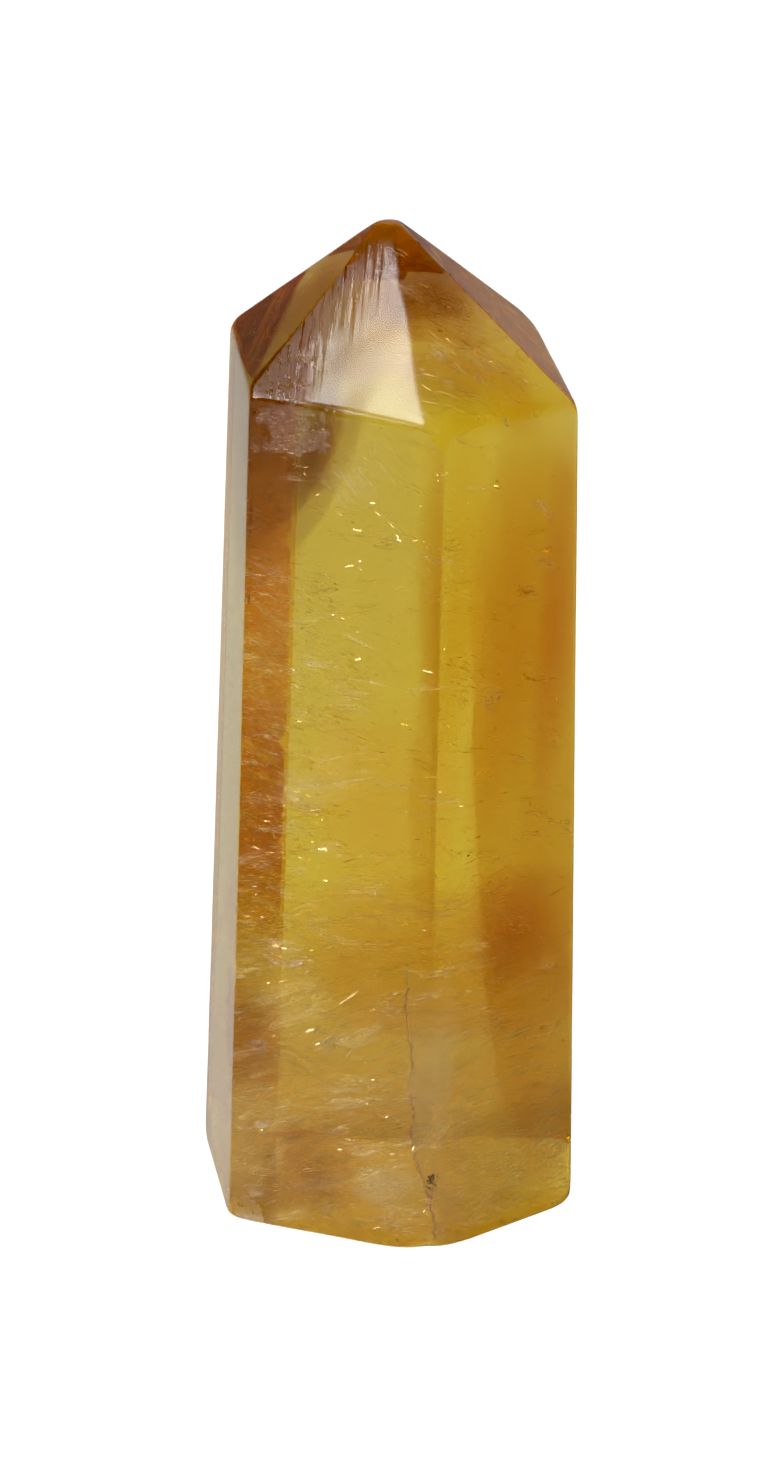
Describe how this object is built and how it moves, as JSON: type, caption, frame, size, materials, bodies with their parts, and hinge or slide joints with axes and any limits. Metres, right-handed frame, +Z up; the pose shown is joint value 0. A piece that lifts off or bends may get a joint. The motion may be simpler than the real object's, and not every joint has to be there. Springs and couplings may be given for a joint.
{
  "type": "fluorite point",
  "caption": "Polished six-sided golden fluorite crystal point, a tapered prism with a six-facet tip, standing on a flat sawn base.",
  "frame": {"origin": "middle of the base's bounding box, on the plane that the point stands on", "axes": "+Z up from the base to the tip; -Y towards the edge between the two front faces"},
  "size_m": [0.0294, 0.0306, 0.08],
  "materials": {
    "fluorite": "polished see-through golden fluorite, hazy with fibrous inclusions, fine lapping scratches on one tip facet"
  },
  "bodies": {
    "root": {"fluorite_point": "fluorite"}
  },
  "joints": []
}
